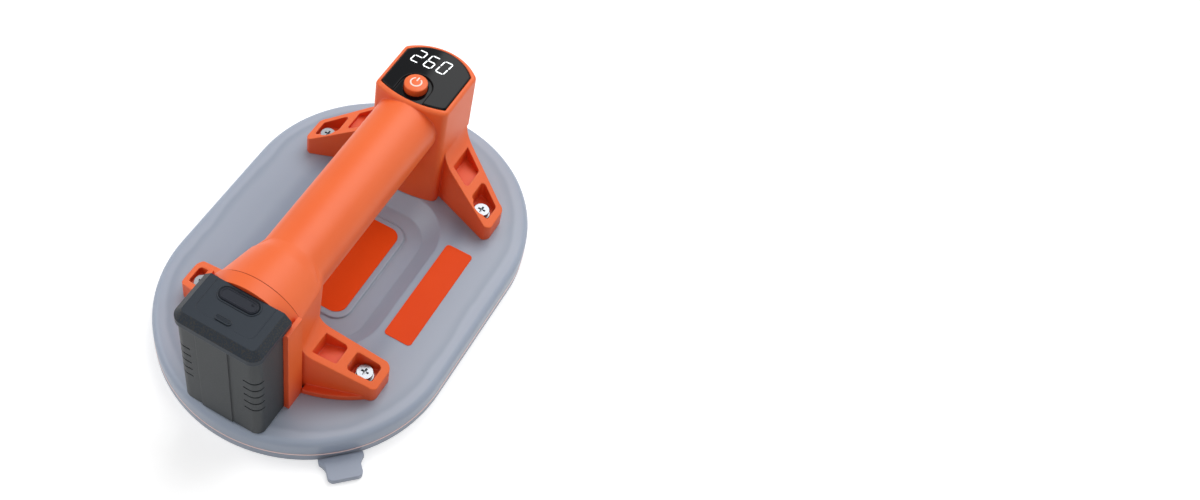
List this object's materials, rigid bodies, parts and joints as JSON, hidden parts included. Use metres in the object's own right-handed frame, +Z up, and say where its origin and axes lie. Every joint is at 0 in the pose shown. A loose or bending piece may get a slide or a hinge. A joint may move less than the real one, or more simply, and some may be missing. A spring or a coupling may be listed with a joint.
{
  "type": "floor tile suction lifter",
  "caption": "Battery powered vacuum cup with an oval sealing plate, a bridge handle on four ribbed legs, a digit display with a power button and a slide-off battery.",
  "frame": {"origin": "on the sealing face, under the middle of the plate", "axes": "+X towards the display, -X towards the battery, +Y to the left of someone who reads the display, +Z up out of the held surface"},
  "size_m": [0.2816, 0.19, 0.1092],
  "materials": {
    "plate_polymer": "milky grey moulded polyurethane, satin",
    "seam_rubber": "pale pink gasket edge",
    "seal_rubber": "grey silicone rubber",
    "cell_foam": "closed cell foam",
    "label_film": "printed film, left bare",
    "orange_shell": "fine textured moulded nylon",
    "screw_steel": "zinc plated",
    "brass": "turned",
    "lens_gloss": "piano black lens",
    "dark_plastic": "moulded",
    "circuit_board": "solder mask",
    "iron_core": "laminated steel",
    "black_rubber": "moulded",
    "battery_shell": "fine spark eroded texture",
    "cell_wrap": "shrink sleeve",
    "lead_sleeve": "silicone insulated wire"
  },
  "bodies": {
    "root": {"base_plate": "plate_polymer", "rim_gasket": "seam_rubber", "sealing_skirt": "seal_rubber", "foam_seal": "cell_foam", "centre_label": "label_film", "load_label": "label_film", "handle_frame": "orange_shell", "front_cover": "orange_shell", "leg_screws": "screw_steel", "leg_washers": "screw_steel", "threaded_inserts": "brass", "display_lens": "lens_gloss", "display_module": "dark_plastic", "button_switch": "dark_plastic", "control_board": "circuit_board", "board_screws": "screw_steel", "board_chips": "dark_plastic", "motor_can": "screw_steel", "motor_end_cap": "dark_plastic", "pump_head": "dark_plastic", "diaphragm": "seal_rubber", "wobble_plate": "dark_plastic", "pump_cover": "dark_plastic", "pump_pads": "black_rubber", "vacuum_hose": "black_rubber", "manifold": "dark_plastic", "inlet_filter": "cell_foam", "pressure_sensor": "dark_plastic", "release_valve": "iron_core", "valve_spring": "screw_steel", "battery_dock": "orange_shell", "contact_block": "dark_plastic", "dock_contacts": "brass", "dock_screws": "screw_steel", "power_leads": "lead_sleeve"},
    "tab": {"release_tab": "seal_rubber"},
    "button": {"power_button": "orange_shell"},
    "battery": {"battery_case": "battery_shell", "battery_cap": "battery_shell", "battery_cells": "cell_wrap", "cell_holder": "dark_plastic", "protection_board": "circuit_board", "charge_socket": "screw_steel", "battery_terminals": "brass"},
    "plug": {"port_cover": "black_rubber"},
    "rotor": {"armature": "iron_core", "motor_shaft": "screw_steel", "pump_crank": "dark_plastic"},
    "valve": {"valve_plunger": "screw_steel"}
  },
  "joints": [
    {"name": "tab_lift", "type": "hinge", "parent": "root", "child": "tab", "pos_m": [-0.11446, -0.06866, 0.0021], "axis": [-0.7071, 0.7071, 0], "range_deg": [0, 50], "stiffness_Nm_per_rad": 0.05},
    {"name": "button_press", "type": "slide", "parent": "root", "child": "button", "axis": [0, 0, -1], "range_m": [0, 0.0012], "stiffness_N_per_m": 1500, "springref_m": -0.0005},
    {"name": "battery_slide", "type": "slide", "parent": "root", "child": "battery", "axis": [0, 0, 1], "range_m": [0, 0.085]},
    {"name": "plug_hinge", "type": "hinge", "parent": "battery", "child": "plug", "pos_m": [-0.1112, 0.0132, 0.1068], "axis": [-1, 0, 0], "range_deg": [0, 110]},
    {"name": "motor_spin", "type": "hinge", "parent": "root", "child": "rotor", "pos_m": [-0.037, 0, 0.08295], "axis": [1, 0, 0], "continuous": true},
    {"name": "valve_lift", "type": "slide", "parent": "root", "child": "valve", "axis": [0, 0, 1], "range_m": [0, 0.0015], "stiffness_N_per_m": 300, "springref_m": -0.003, "deforming": ["valve_spring"]}
  ]
}
